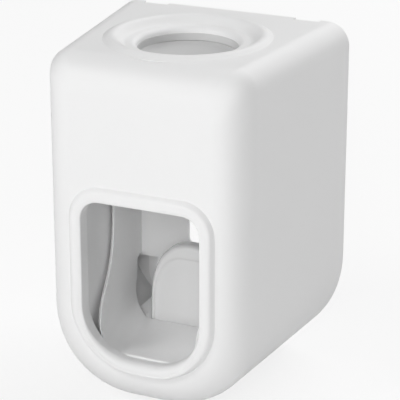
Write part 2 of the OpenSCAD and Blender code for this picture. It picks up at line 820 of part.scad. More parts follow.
module piston() {
    color("white") difference() {
        union() {
            translate([0, 0, barrel_z]) {
                rod_y(piston_r, piston_face_y, piston_rear_y);
                rod_y(rod_dia / 2, piston_rear_y - eps, cross_y);
            }
            translate([-arm_in + crosshead_gap, cross_y - crosshead_front, barrel_z - crosshead_h / 2])
                cube([2 * (arm_in - crosshead_gap), crosshead_t, crosshead_h]);
        }
        translate([0, 0, barrel_z]) difference() {
            rod_y(piston_r + 1, groove_y, groove_y + groove_w);
            rod_y(piston_r - groove_depth, groove_y - 1, groove_y + groove_w + 1);
        }
        translate([0, cross_y, barrel_z]) rod_x(cross_dia / 2, -arm_in, arm_in);
    }
}

module piston_seal() {
    seal_r = (groove_depth - 0.04) / 2;
    color("dimgray") translate([0, groove_y + groove_w / 2, barrel_z]) rotate([90, 0, 0])
        rotate_extrude($fn = sides) translate([barrel_r - seal_r - 0.04, 0]) circle(seal_r, $fn = 24);
}

module piston_pin() {
    color("silver") translate([0, cross_y, barrel_z])
        rod_x(cross_dia / 2, -arm_out - cross_end, arm_out + cross_end);
}

// Open coil around the rod, swept as one tube
module return_spring() {
    r = rod_dia / 2 + spring_wire / 2 + 0.35;
    y0 = -barrel_end + cap_rim_t + spring_wire / 2 + pin_gap;
    y1 = cross_y - crosshead_front - spring_wire / 2 - pin_gap;
    per_turn = 10;
    count = round(spring_turns * per_turn);
    rise = (y1 - y0) / count;
    lean = atan(rise * per_turn / (2 * PI * r));
    ring = 6;
    points = [
        for (i = [0:count]) for (k = [0:ring - 1])
            let (
                a = 360 * i / per_turn,
                b = 360 * k / ring,
                out = spring_wire / 2 * cos(b),
                side = spring_wire / 2 * sin(b)
            )
            [
                (r + out) * cos(a) + side * sin(lean) * sin(a),
                y0 + rise * i + side * cos(lean),
                barrel_z + (r + out) * sin(a) - side * sin(lean) * cos(a)
            ]
    ];
    faces = [
        for (i = [0:count - 1]) for (k = [0:ring - 1])
            let (l = (k + 1) % ring)
            each [
                [i * ring + k, (i + 1) * ring + k, (i + 1) * ring + l],
                [i * ring + k, (i + 1) * ring + l, i * ring + l]
            ]
    ];
    first = [[for (k = [0:ring - 1]) k]];
    last = [[for (k = [ring - 1:-1:0]) count * ring + k]];
    color("silver") polyhedron(points, concat(faces, first, last));
}

module inlet_plate() {
    color("whitesmoke") translate([0, tube_y, inlet_top - plate_t]) difference() {
        union() {
            cylinder(r = channel_r - pin_gap, h = plate_t + 0.4, $fn = sides);
            translate([0, 0, plate_t]) cylinder(r = channel_out - 0.6, h = plate_rim_t, $fn = sides);
        }
        translate([0, 0, -1]) cylinder(r = stem_r + pin_gap, h = plate_t + plate_rim_t + 2, $fn = 24);
        for (a = [0:60:300]) rotate(a) translate([port_at, 0, -1])
            cylinder(r = port_r, h = plate_t + plate_rim_t + 2, $fn = 24);
    }
}

module inlet_valve() {
    color("lightgray") translate([0, tube_y, inlet_top - plate_t]) {
        translate([0, 0, -disc_t - pin_gap]) cylinder(r = channel_r - 0.5, h = disc_t, $fn = sides);
        translate([0, 0, -disc_t / 2]) cylinder(r = stem_r, h = plate_t + plate_rim_t + disc_t, $fn = 24);
        translate([0, 0, plate_t + plate_rim_t + pin_gap])
            cylinder(r1 = 2 * stem_r, r2 = stem_r, h = disc_t, $fn = 24);
    }
}

module outlet_valve() {
    seat_z = deck_z - spigot_len;
    color("lightgray") difference() {
        union() {
            translate([0, tube_y, seat_z - valve_flange_t])
                cylinder(r = spigot_r - 0.2, h = valve_flange_t - 0.05, $fn = sides);
            translate([0, tube_y, seat_z - bill_root]) cylinder(r = bill_r, h = bill_root - 1, $fn = sides);
            translate([-bill_half, tube_y - bill_skin - slit_t / 2, seat_z - bill_len])
                cube([2 * bill_half, 2 * bill_skin + slit_t, bill_len - bill_root + 1]);
        }
        translate([0, tube_y, seat_z - bill_root + 0.4])
            cylinder(r = bill_r - 0.8, h = bill_root + 1, $fn = sides);
        translate([-bill_half + bill_skin, tube_y - slit_t / 2, seat_z - bill_len - 1])
            cube([2 * (bill_half - bill_skin), slit_t, bill_len - bill_root + 2]);
    }
}

module nozzle_cap() {
    low = deck_z - spigot_len - valve_flange_t - 1.1;
    color("whitesmoke") translate([0, tube_y, 0]) difference() {
        translate([0, 0, low]) cylinder(r = cap_out_r, h = deck_z - low - fit_gap / 2, $fn = sides);
        translate([0, 0, low + 1.05]) cylinder(r = spigot_r + pin_gap, h = 10, $fn = sides);
        translate([0, 0, low - 1]) cylinder(r = 3.4, h = 4, $fn = sides);
        for (a = [0:30:330]) rotate(a) translate([cap_out_r + 0.25, 0, low - 1])
            cylinder(r = 0.6, h = 8, $fn = 16);
    }
}

// Soft funnel between the collar and the pump's inlet
module tube_seat() {
    top = roof_z - skirt_len - 0.05;
    flange = hole_r + skirt_t - 0.1;
    low = top - seat_cone - neck_len;
    relief = 0.3;
    ledge = inlet_top + plate_rim_t + 0.05;
    sleeve = channel_out + 0.1;
    sleeve_low = inlet_top - plate_t;
    color("gainsboro") translate([0, tube_y, 0]) rotate_extrude($fn = 2 * sides) polygon([
        [flange, top], [hole_r - 0.4, top], [hole_r - 1, top - 0.5], [neck_r + 1.2, top - 1.9],
        [neck_r, top - seat_cone], [neck_r, low], [neck_r - relief, low - relief],
        [channel_r - 0.5, low - relief], [channel_r - 0.5, ledge], [sleeve, ledge],
        [sleeve, sleeve_low], [sleeve + sleeve_t, sleeve_low],
        [sleeve + sleeve_t, top - 4.2], [flange - skirt_t, top - seat_rim_t], [flange, top - seat_rim_t]
    ]);
}

module seat_ring() {
    top = roof_z - skirt_len;
    bore = hole_r + skirt_t + 0.1;
    color("whitesmoke") translate([0, tube_y, 0]) rotate_extrude($fn = 2 * sides) polygon([
        [bore, top + skirt_len - 0.3], [bore, top - seat_rim_t - 0.15],
        [bore - ring_hook, top - seat_rim_t - 0.15], [bore - ring_hook, top - 2 * seat_rim_t - 0.3],
        [bore + 0.8 * clamp_t, top - 2 * seat_rim_t - 0.3],
        [bore + clamp_t, top - 2 * seat_rim_t + 0.2], [bore + clamp_t, top + skirt_len - 0.3]
    ]);
}

module stop_bumpers() {
    color("dimgray") for (side = [-1, 1])
        translate([side * (arm_in + arm_t / 2), -cover_t, barrel_z + 0.6]) rotate([90, 0, 0])
            cylinder(d = arm_t - 0.1, h = -cross_y - arm_back - cover_t - bumper_gap, $fn = 32);
}

module deck_screws() {
    color("silver") for (p = deck_posts) translate([p[0], p[1], deck_z]) mirror([0, 0, 1]) screw(screw_len);
}

module pump_screws() {
    color("silver") for (side = [-1, 1]) translate([side * flange_screw_x, tube_y, deck_top + flange_t])
        screw(deck_t + flange_t);
}

module chute_screws() {
    color("silver") for (x = [-1, 1]) translate([x * chute_ear_x, chute_rear_y + chute_t, chute_ear_z])
        rotate([-90, 0, 0]) screw(screw_len);
}

module cover_screws() {
    color("silver") for (x = [-1, 1]) for (z = [cover_low_z, cover_high_z])
        translate([x * cover_screw_x, -head_room, z]) rotate([-90, 0, 0]) screw(screw_len);
}

housing();
rear_cover();
brush_chute();
push_pad();
push_lever();
lever_pin();
pin_clips();
pump_deck();
pump_body();
inlet_plate();
inlet_valve();
outlet_valve();
nozzle_cap();
tube_seat();
seat_ring();
piston();
piston_seal();
piston_pin();
barrel_cap();
return_spring();
stop_bumpers();
deck_screws();
pump_screws();
chute_screws();
cover_screws();
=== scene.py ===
"""Looks of a wall-mounted toothpaste dispenser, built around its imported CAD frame.

Shapes are drawn in millimetres in the row frame: the origin is the middle of the flat rear face,
+Y points into the wall, +Z up, and the window looks along -Y. to_object() turns them into metres.
"""

import json
import math

import bmesh
import bpy
import numpy as np
from mathutils import Matrix, Vector


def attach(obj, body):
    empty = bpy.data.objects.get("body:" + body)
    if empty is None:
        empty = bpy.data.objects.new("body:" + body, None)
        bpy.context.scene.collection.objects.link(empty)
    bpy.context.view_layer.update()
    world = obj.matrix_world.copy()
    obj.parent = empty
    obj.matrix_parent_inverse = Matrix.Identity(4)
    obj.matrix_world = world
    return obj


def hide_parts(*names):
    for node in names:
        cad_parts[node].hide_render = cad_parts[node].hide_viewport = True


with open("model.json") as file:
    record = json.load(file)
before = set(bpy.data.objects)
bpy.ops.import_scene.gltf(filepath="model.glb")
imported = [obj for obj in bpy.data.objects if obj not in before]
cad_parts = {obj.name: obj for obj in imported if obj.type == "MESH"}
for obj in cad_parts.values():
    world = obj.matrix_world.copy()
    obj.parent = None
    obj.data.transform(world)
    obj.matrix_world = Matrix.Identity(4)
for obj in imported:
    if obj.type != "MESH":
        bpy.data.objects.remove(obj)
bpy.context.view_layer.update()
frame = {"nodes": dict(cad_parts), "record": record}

# Sizes in millimetres. They follow the CAD, except for those whose comment says that they are fitted closer
# to the photograph.

# Body
BACK_W, FRONT_W, BODY_H, BODY_D = 66.0, 54.0, 92.0, 55.5
WALL = 2.4
TOP_R, BOTTOM_R, BOTTOM_E, FRONT_R = 6.0, 29.0, 2.12, 8.0
TOP_FALL, BOTTOM_RISE = 0.6, 1.4
NOTCH_X, NOTCH_HALF, NOTCH_Y = 21.6, 3.5, 1.5
FRONT_Y = -BODY_D

# Window and the bead around it; the lower edge and the bead's section are fitted closer
WINDOW_W, WINDOW_TOP, WINDOW_LOW = 32.4, 9.3, -32.7
WINDOW_TOP_R, WINDOW_LOW_R = 5.0, 13.5
BEAD_W, BEAD_H, EDGE_ROUND, LOW_EDGE_ROUND, CREST_AT, FLANK_POWER = 3.9, 1.3, 0.4, 2.3, 1.2, 2.4

# Wall behind the window, fitted closer: it flares as it runs back, and less behind the cheeks' edge
RAIL_T, GUARD_FLARE, GUARD_REAR_FLARE, GUARD_R, GUARD_TURN_Z = 1.2, 0.175, 0.09, 10.0, -25.2
GUARD_LEAD, GUARD_TAIL = 5.0, 9.0
UPPER_RAIL_T, UPPER_RAIL_LOW, UPPER_RAIL_REAR_Y = 1.9, 7.1, -49.3

# Posts and screws
POST_R, PILOT_R, POST_LEN, WEB_T, SCREW_LEN = 2.8, 1.2, 11.0, 1.6, 7.0
DECK_GAP, DECK_T = 0.2, 2.0
DECK_TOP = WINDOW_TOP + DECK_GAP + DECK_T
COVER_POST_IN, COVER_POST_Z = 3.6, (-15.0, 32.0)
DECK_POSTS = ((-20.5, -46.0), (20.5, -46.0), (-26.3, -12.0), (26.3, -12.0))

# Collar for the tube; the dish, the rim of the hole and the seat's lip are fitted closer
TUBE_Y = -BODY_D + 28.0
RING_R, RING_H, RING_W, RING_OUT_POWER, RING_IN_POWER = 19.25, 0.9, 5.0, 1.15, 1.1
HOLE_R, DISH_DEPTH, DISH_EDGE, RING_FALL, DISH_CUT_IN = 12.85, 1.1, 1.5, 3.7, 1.7
SEAT_LIP_T = 0.15
SKIRT_LEN, SKIRT_T = 2.0, 2.2
TOP_SLOPE = math.atan2(TOP_FALL, BODY_D)
TOP_AT_TUBE = BODY_H / 2 - TOP_FALL * -TUBE_Y / BODY_D
ROOF_Z = TOP_AT_TUBE - WALL

# Brush chute; its lip, fall and keen edge and the opening of its back wall are fitted closer
CHUTE_GAP = 0.7
CHUTE_FRONT_Y, CHUTE_REAR_Y = FRONT_Y + WALL + CHUTE_GAP, -10.5
CHUTE_FRONT_HALF, CHUTE_REAR_HALF, CHUTE_T = 13.3, 22.0, 1.3
LIP_Z, BOWL_FALL, BOWL_RUN = -32.45, 0.95, 16.0
BOWL_FRONT_R, BOWL_REAR_R = 7.0, 5.5
CHEEK_UPPER = ((-37.6, 2.0), (-37.9, -13.6), (-43.0, -15.2), (-49.3, -20.2))
CHEEK_LOWER = ((-49.3, -20.2), (-52.2, -22.5), (-52.4, -27.0))
KEEN_T, EDGE_TAPER, KEEN_TO_U, KEEN_FADE_U = 0.2, 2.6, 1.2, 0.6
BACK_WALL_TOP, VIEW_HALF, VIEW_LOW, VIEW_R = -3.95, 7.9, -17.4, 1.8
EAR_X, EAR_Z, EAR_R, EAR_HOLE_R = 26.2, 3.0, 2.7, 1.3

# Bay for the pad in the chute: its edge, the recess behind it and its tray are fitted closer
BAY_HALF, BAY_TOP, BAY_LOW, BAY_FRONT_Y = 14.5, -20.5, -50.0, -14.0
BAY_EDGE_TOP, BAY_EDGE_SOFT, BAY_STEP, BAY_BACK_HALF, BAY_REAR_Y = -22.2, 0.6, 2.5, 22.5, -3.8
BAY_SIDE_LEAD, BAY_CORNER_LEAD, BAY_FLOOR_LEAD = 1.6, 11.2, 0.9
TRAY_HALF, TRAY_T, TRAY_DROP = 18.5, 1.0, 1.2
POCKET_HALF, POCKET_FRONT_Y, POCKET_LOW, POCKET_R = 12.75, -27.1, -37.63, 2.4

# Push pad; its width, top and arch are fitted closer
PAD_W, PAD_TOP, PAD_LOW, PAD_Y, PAD_T, PAD_LOW_R = 23.6, -11.3, -35.5, -26.0, 3.0, 1.8
PAD_ARCH, PAD_SHOULDER, PAD_RIM, PAD_HOLLOW, FIELD_FLAT = 2.35, 17.7, 1.3, 1.4, 1.5

# Floor's size and gap under the object, in metres
FLOOR_SIZE, FLOOR_GAP = 6.0, 0.0005
# Strength of the world's light on the object, and share of plain white in the floor that the camera sees
WORLD_LIGHT, FLOOR_WHITE = 0.03, 0.8


# Mesh tools


def to_object(name, points, faces):
    """Object made of points in millimetres; its mesh stays in millimetres until settle()."""
    mesh = bpy.data.meshes.new(name)
    mesh.from_pydata([tuple(p) for p in points], [], faces)
    mesh.update()
    obj = bpy.data.objects.new(name, mesh)
    bpy.context.scene.collection.objects.link(obj)
    return obj


def face_outwards(obj):
    """Makes the normals of a closed mesh point out."""
    mesh = bmesh.new()
    mesh.from_mesh(obj.data)
    bmesh.ops.recalc_face_normals(mesh, faces=mesh.faces)
    mesh.to_mesh(obj.data)
    mesh.free()
    return obj


def loft(name, sections, caps=True):
    """Form through sections, each a list of the same number of points; caps closes its two ends."""
    count = len(sections[0])
    points = [p for section in sections for p in section]
    faces = []
    for j in range(len(sections) - 1):
        for i in range(count):
            k = (i + 1) % count
            faces.append((j * count + i, j * count + k, (j + 1) * count + k, (j + 1) * count + i))
    if caps:
        last = (len(sections) - 1) * count
        faces.append(tuple(reversed(range(count))))
        faces.append(tuple(last + i for i in range(count)))
    return face_outwards(to_object(name, points, faces))


def weld(obj, reach=0.001):
    """Joins points that lie at the same place."""
    mesh = bmesh.new()
    mesh.from_mesh(obj.data)
    bmesh.ops.remove_doubles(mesh, verts=mesh.verts, dist=reach)
    bmesh.ops.dissolve_degenerate(mesh, dist=reach, edges=mesh.edges)
    mesh.to_mesh(obj.data)
    mesh.free()
    return obj


def sweep_closed(name, rings):
    """Closed tube through rings of points whose last ring joins the first."""
    count = len(rings[0])
    total = len(rings)
    points = [p for ring in rings for p in ring]
    faces = []
    for j in range(total):
        n = (j + 1) % total
        for i in range(count):
            k = (i + 1) % count
            faces.append((j * count + i, j * count + k, n * count + k, n * count + i))
    return face_outwards(to_object(name, points, faces))


def revolve(name, profile, steps):
    """Solid ring from a closed profile of (radius, height) around the Z axis."""
    rings = []
    for i in range(steps):
        a = 2 * math.pi * i / steps
        rings.append([(r * math.cos(a), r * math.sin(a), z) for r, z in profile])
    return sweep_closed(name, rings)


def rod(name, start, end, radius, steps):
    """Cylinder between two points."""
    start, end = Vector(start), Vector(end)
    turn = (end - start).to_track_quat("Z", "Y").to_matrix()
    circle = []
    for i in range(steps):
        a = 2 * math.pi * i / steps
        circle.append(turn @ Vector((radius * math.cos(a), radius * math.sin(a), 0)))
    return loft(name, [[start + p for p in circle], [end + p for p in circle]])


def block(name, low, high):
    """Box between two corners."""
    x0, y0, z0 = low
    x1, y1, z1 = high
    ring = [(x0, z0), (x1, z0), (x1, z1), (x0, z1)]
    return loft(name, [[(x, y0, z) for x, z in ring], [(x, y1, z) for x, z in ring]])


def combine(obj, others, operation):
    """Joins others to obj or cuts them out of it, and removes them."""
    for other in others:
        step = obj.modifiers.new("step", "BOOLEAN")
        step.object = other
        step.operation = operation
        step.solver = "MANIFOLD"
    evaluated = obj.evaluated_get(bpy.context.evaluated_depsgraph_get())
    mesh = bpy.data.meshes.new_from_object(evaluated)
    obj.modifiers.clear()
    obj.data = mesh
    for other in others:
        bpy.data.objects.remove(other)


def settle(obj, smooth_deg=35.0):
    """Brings a finished mesh to metres and smooths the faces that meet at less than smooth_deg."""
    obj.data.transform(Matrix.Scale(0.001, 4))
    mesh = bmesh.new()
    mesh.from_mesh(obj.data)
    bmesh.ops.remove_doubles(mesh, verts=mesh.verts, dist=2e-6)
    bmesh.ops.dissolve_degenerate(mesh, dist=1e-6, edges=mesh.edges)
    limit = math.radians(smooth_deg)
    for edge in mesh.edges:
        edge.smooth = len(edge.link_faces) != 2 or edge.calc_face_angle(0.0) < limit
    for face in mesh.faces:
        face.smooth = True
    mesh.to_mesh(obj.data)
    mesh.free()
    step = obj.modifiers.new("normals", "WEIGHTED_NORMAL")
    step.mode = "FACE_AREA"
    step.weight = 80
    step.keep_sharp = True


def give(obj, material):
    """Puts one material on the whole object."""
    obj.data.materials.clear()
    obj.data.materials.append(material)


def on_top(obj):
    """Brings a form drawn round the Z axis onto the body's sloping top, in line with the tube."""
    place = Matrix.Translation((0, TUBE_Y, TOP_AT_TUBE))
    obj.data.transform(place @ Matrix.Rotation(TOP_SLOPE, 4, "X"))
    return obj


# Outlines


def corner(cx, cz, radius, exponent, start_deg, steps):
    """Points of one round corner in X and Z."""
    points = []
    for i in range(steps + 1):
        a = math.radians(start_deg + 90.0 * i / steps)
        c, s = math.cos(a), math.sin(a)
        points.append((
            cx + radius * math.copysign(abs(c) ** (2 / exponent), c),
            cz + radius * math.copysign(abs(s) ** (2 / exponent), s),
        ))
    return points


def half_at(y):
    """Half the body's width at depth y."""
    return BACK_W / 2 + (BACK_W - FRONT_W) / 2 * y / BODY_D


def top_at(y):
    """Height of the body's top at depth y."""
    return BODY_H / 2 + TOP_FALL * y / BODY_D


def low_at(y):
    """Height of the body's underside at depth y."""
    return -BODY_H / 2 - BOTTOM_RISE * y / BODY_D


def skin(y, inset, turn=0.0, steps=16):
    """Outline of the body at depth y, set in by inset; turn goes from 0 to 1 around the front edge."""
    drawn_in = inset + (FRONT_R - inset) * turn
    half, high, low = half_at(y) - drawn_in, top_at(y) - drawn_in, low_at(y) + drawn_in
    top_r = (TOP_R - inset) * (1 - 0.4 * turn)
    low_r = BOTTOM_R - (BACK_W / 2 - half_at(y)) - drawn_in
    outline = (
        corner(half - top_r, high - top_r, top_r, 2, 0, steps)
        + corner(-half + top_r, high - top_r, top_r, 2, 90, steps)
        + corner(-half + low_r, low + low_r, low_r, BOTTOM_E, 180, 3 * steps)
        + corner(half - low_r, low + low_r, low_r, BOTTOM_E, 270, 3 * steps)
    )
    return [(x, y, z) for x, z in outline]


def body_form(name, inset, rear_y, steps):
    """Outer form of the body, or its cavity when inset is the wall."""
    turn_y = FRONT_Y + FRONT_R
    radius = FRONT_R - inset
    sections = []
    for i in range(steps, 0, -1):
        a = math.pi / 2 * i / steps
        sections.append(skin(turn_y - radius * math.sin(a), inset, 1 - math.cos(a)))
    sections += [skin(turn_y, inset), skin((turn_y + rear_y) / 2, inset), skin(rear_y, inset)]
    return loft(name, sections)


def round_rect(half, low, high, radius, steps=12, low_radius=None):
    """Points of a rectangle with round corners, in X and Z, from the upper right corner on."""
    low_radius = radius if low_radius is None else low_radius
    return (
        corner(half - radius, high - radius, radius, 2, 0, steps)
        + corner(-half + radius, high - radius, radius, 2, 90, steps)
        + corner(-half + low_radius, low + low_radius, low_radius, 2, 180, steps)
        + corner(half - low_radius, low + low_radius, low_radius, 2, 270, steps)
    )


def slab(name, outline, y0, y1):
    """Solid of an X and Z outline between two depths."""
    return loft(name, [[(x, y0, z) for x, z in outline], [(x, y1, z) for x, z in outline]])


# Materials


def plastic(name, colour, roughness, grain=0.0, coat=0.0):
    """White plastic with a faint unevenness in tone and gloss and, where grain is set, a fine texture."""
    material = bpy.data.materials.new(name)
    material.use_nodes = True
    nodes, links = material.node_tree.nodes, material.node_tree.links
    shader = nodes["Principled BSDF"]
    shader.inputs["IOR"].default_value = 1.5
    shader.inputs["Coat Weight"].default_value = coat
    shader.inputs["Coat Roughness"].default_value = 0.12
    where = nodes.new("ShaderNodeTexCoord")
    mottle = nodes.new("ShaderNodeTexNoise")
    mottle.inputs["Scale"].default_value = 45.0
    mottle.inputs["Detail"].default_value = 3.0
    links.new(where.outputs["Object"], mottle.inputs["Vector"])
    tone = nodes.new("ShaderNodeMapRange")
    tone.inputs["To Min"].default_value = 0.985
    tone.inputs["To Max"].default_value = 1.0
    links.new(mottle.outputs["Fac"], tone.inputs["Value"])
    tint = nodes.new("ShaderNodeMix")
    tint.data_type = "RGBA"
    tint.blend_type = "MULTIPLY"
    tint.inputs["Factor"].default_value = 1.0
    tint.inputs["A"].default_value = (*colour, 1.0)
    links.new(tone.outputs["Result"], tint.inputs["B"])
    links.new(tint.outputs["Result"], shader.inputs["Base Color"])
    gloss = nodes.new("ShaderNodeMapRange")
    gloss.inputs["To Min"].default_value = roughness - 0.03
    gloss.inputs["To Max"].default_value = roughness + 0.03
    links.new(mottle.outputs["Fac"], gloss.inputs["Value"])
    links.new(gloss.outputs["Result"], shader.inputs["Roughness"])
    if grain:
        fine = nodes.new("ShaderNodeTexNoise")
        fine.inputs["Scale"].default_value = 1800.0
        fine.inputs["Detail"].default_value = 2.0
        links.new(where.outputs["Object"], fine.inputs["Vector"])
        bump = nodes.new("ShaderNodeBump")
        bump.inputs["Strength"].default_value = grain
        bump.inputs["Distance"].default_value = 0.00002
        links.new(fine.outputs["Fac"], bump.inputs["Height"])
        links.new(bump.outputs["Normal"], shader.inputs["Normal"])
    return material


def steel(name, colour, roughness):
    """Metal with fine lengthwise brushing."""
    material = bpy.data.materials.new(name)
    material.use_nodes = True
    nodes, links = material.node_tree.nodes, material.node_tree.links
    shader = nodes["Principled BSDF"]
    shader.inputs["Base Color"].default_value = (*colour, 1.0)
    shader.inputs["Metallic"].default_value = 1.0
    where = nodes.new("ShaderNodeTexCoord")
    stretch = nodes.new("ShaderNodeMapping")
    stretch.inputs["Scale"].default_value = (200.0, 3000.0, 3000.0)
    brushed = nodes.new("ShaderNodeTexNoise")
    brushed.inputs["Scale"].default_value = 1.0
    links.new(where.outputs["Object"], stretch.inputs["Vector"])
    links.new(stretch.outputs["Vector"], brushed.inputs["Vector"])
    gloss = nodes.new("ShaderNodeMapRange")
    gloss.inputs["To Min"].default_value = roughness - 0.08
    gloss.inputs["To Max"].default_value = roughness + 0.08
    links.new(brushed.outputs["Fac"], gloss.inputs["Value"])
    links.new(gloss.outputs["Result"], shader.inputs["Roughness"])
    return material


SHELL = plastic("shell_white", (0.86, 0.86, 0.86), 0.5, grain=0.25)
# Painted light: the inside parts' white plastic is given a lighter colour than the shell's (0.94 against
# 0.86), to stand in for the light that reaches inside through the window
INNER_WHITE_PAINTED_LIGHTER = plastic("inner_white", (0.94, 0.94, 0.94), 0.36)
PAD = plastic("pad_gloss", (0.88, 0.88, 0.88), 0.16, coat=0.4)
PUMP = plastic("pump_plastic", (0.74, 0.75, 0.76), 0.45)
SILICONE = plastic("soft_silicone", (0.62, 0.62, 0.62), 0.55)
RUBBER = plastic("dark_rubber", (0.03, 0.03, 0.03), 0.7)
STEEL = steel("steel", (0.62, 0.62, 0.64), 0.3)
BY_SLOT = {
    "shell_white": SHELL, "inner_white": INNER_WHITE_PAINTED_LIGHTER, "pad_gloss": PAD, "pump_plastic": PUMP,
    "soft_silicone": SILICONE, "dark_rubber": RUBBER, "steel": STEEL,
}


# Housing


def window_rings(arc_steps=24):
    """Bead's section around the window; along the bottom its edge is rounder and its flank narrower."""
    half = WINDOW_W / 2
    foot_at_top, foot_loss = BEAD_W + 0.05, 0.7
    stations = []
    for x, z, radius, start in (
        (half - WINDOW_TOP_R, WINDOW_TOP - WINDOW_TOP_R, WINDOW_TOP_R, 0),
        (-half + WINDOW_TOP_R, WINDOW_TOP - WINDOW_TOP_R, WINDOW_TOP_R, 90),
        (-half + WINDOW_LOW_R, WINDOW_LOW + WINDOW_LOW_R, WINDOW_LOW_R, 180),
        (half - WINDOW_LOW_R, WINDOW_LOW + WINDOW_LOW_R, WINDOW_LOW_R, 270),
    ):
        for i in range(arc_steps + 1):
            a = math.radians(start + 90.0 * i / arc_steps)
            stations.append((x, z, radius, a))
    rings = []
    for x, z, radius, a in stations:
        downward = max(0.0, -math.sin(a)) ** 2
        foot = foot_at_top - foot_loss * downward
        edge = EDGE_ROUND + (LOW_EDGE_ROUND - EDGE_ROUND) * downward
        rings.append([
            (x + (radius + q) * math.cos(a), FRONT_Y - h, z + (radius + q) * math.sin(a))
            for q, h in bead_profile(foot, edge)
        ])
    return rings


def swell(t, crest, foot, power):
    """Height of a smooth flank from crest at t 0 to foot at t 1; a high power keeps the crest broad."""
    return foot + (crest - foot) * (0.5 + 0.5 * math.cos(math.pi * t ** power))


def bead_profile(foot, edge):
    """Window frame in section: inner wall, round edge, crest, and a flank that runs out at foot."""
    sunk, root_x, root_h = 0.12, 0.9, -0.8
    points = [(0.0, -WALL - sunk), (0.0, -1.3)]
    crest = max(CREST_AT, edge + 0.25)
    for i in range(13):
        a = math.pi / 2 * i / 12
        points.append((edge * (1 - math.cos(a)), BEAD_H - sunk - edge * (1 - math.sin(a))))
    for i in range(1, 9):
        t = i / 8
        points.append((edge + (crest - edge) * t, BEAD_H - sunk * (1 - t) ** 2))
    for i in range(1, 17):
        t = i / 16
        points.append((crest + (foot - crest) * t, swell(t, BEAD_H, -sunk, FLANK_POWER)))
    points += [(foot, root_h), (root_x, root_h), (root_x, -WALL - sunk)]
    return points


def collar_profile():
    """Ring, dish and skirt in section, as (radius, height above the top)."""
    foot, sunk = RING_W / 2 + 0.35, 0.1
    points = []
    for i in range(13):
        t = 1 - i / 12
        points.append((RING_R + t * foot, swell(t, RING_H, -sunk, RING_OUT_POWER)))
    for i in range(1, 19):
        t = i / 18
        points.append((RING_R - RING_FALL * t, swell(t, RING_H, -DISH_DEPTH, RING_IN_POWER)))
    dish_end = HOLE_R + DISH_EDGE
    for i in range(11):
        a = math.pi / 2 * i / 10
        points.append((dish_end - DISH_EDGE * math.sin(a), -DISH_DEPTH - DISH_EDGE * (1 - math.cos(a))))
    skirt_low, skirt_out, root = -WALL - SKIRT_LEN, HOLE_R + SKIRT_T, RING_R - RING_W / 2 - sunk
    points += [
        (HOLE_R, skirt_low), (skirt_out, skirt_low), (skirt_out, -WALL + sunk),
        (root, -WALL + sunk), (root, -1.9), (RING_R + foot, -1.3),
    ]
    return points


def inner_wall():
    """Wall that runs back from the window around the chute's sides and bottom, and two pieces above it."""
    start_y, half = FRONT_Y + WALL - 0.2, WINDOW_W / 2 + 0.02
    turn_x, turn_z = half - GUARD_R, GUARD_TURN_Z
    quarter = [(turn_x, z, 0.0) for z in np.linspace(UPPER_RAIL_LOW + 0.1, turn_z, 20)]
    quarter += [(turn_x, turn_z, 90.0 * i / 16) for i in range(1, 17)]
    quarter += [(turn_x * (1 - i / 4), turn_z, 90.0) for i in range(1, 5)]
    stations = [(1, *station) for station in quarter] + [(-1, *station) for station in quarter[-2::-1]]
    sections = []
    for side, x, z, angle in stations:
        x, a = side * x, math.radians(angle)
        nx, nz = side * math.cos(a), -math.sin(a)
        edge_y = cheek_y(z - GUARD_R * math.sin(a))
        turn_y = max(start_y + 0.5, edge_y - GUARD_LEAD)
        inner, outer = [], []
        for i in range(17):
            y = start_y + (edge_y + GUARD_TAIL - start_y) * i / 16
            near = GUARD_R + GUARD_FLARE * (min(y, turn_y) - start_y)
            near += GUARD_REAR_FLARE * max(0.0, y - turn_y)
            far = near + RAIL_T
            inner.append((x + nx * near, y, z + nz * near))
            outer.append((x + nx * far, y, z + nz * far))
        sections.append(inner + outer[::-1])
    walls = [loft("inner_wall", sections)]
    for side in (-1, 1):
        x0, x1 = sorted((side * half, side * (half + UPPER_RAIL_T)))
        walls.append(block("rail", (x0, start_y, UPPER_RAIL_LOW), (x1, UPPER_RAIL_REAR_Y, WINDOW_TOP)))
    return walls


def rear_posts():
    """Places of the posts that point to the rear: x, height and the depth of their ends."""
    cover_x = BACK_W / 2 - WALL - COVER_POST_IN
    one_side = [(cover_x, z, -WALL) for z in COVER_POST_Z] + [(EAR_X, EAR_Z, CHUTE_REAR_Y)]
    return [(side * x, z, rear_y) for side in (-1, 1) for x, z, rear_y in one_side]


def screw_posts():
    """Posts of the deck, the cover and the chute, the last two with a web to the side wall."""
    parts = []
    for x, y in DECK_POSTS:
        parts.append(rod("post", (x, y, DECK_TOP), (x, y, top_at(y) - WALL / 2), POST_R, 32))
    for x, z, rear_y in rear_posts():
        root_y = rear_y - POST_LEN
        x0, x1 = sorted((x, math.copysign(half_at(root_y) - WALL / 2, x)))
        parts.append(rod("post", (x, root_y, z), (x, rear_y, z), POST_R, 32))
        parts.append(block("web", (x0, root_y, z - WEB_T / 2), (x1, rear_y, z + WEB_T / 2)))
    return parts


def pilot_holes():
    """Cutters for the screws' holes in the posts."""
    ends = [((x, y, DECK_TOP - 1), (x, y, DECK_TOP + SCREW_LEN + 1)) for x, y in DECK_POSTS]
    ends += [((x, rear_y - SCREW_LEN, z), (x, rear_y + 1, z)) for x, z, rear_y in rear_posts()]
    return [rod("pilot", start, end, PILOT_R, 24) for start, end in ends]


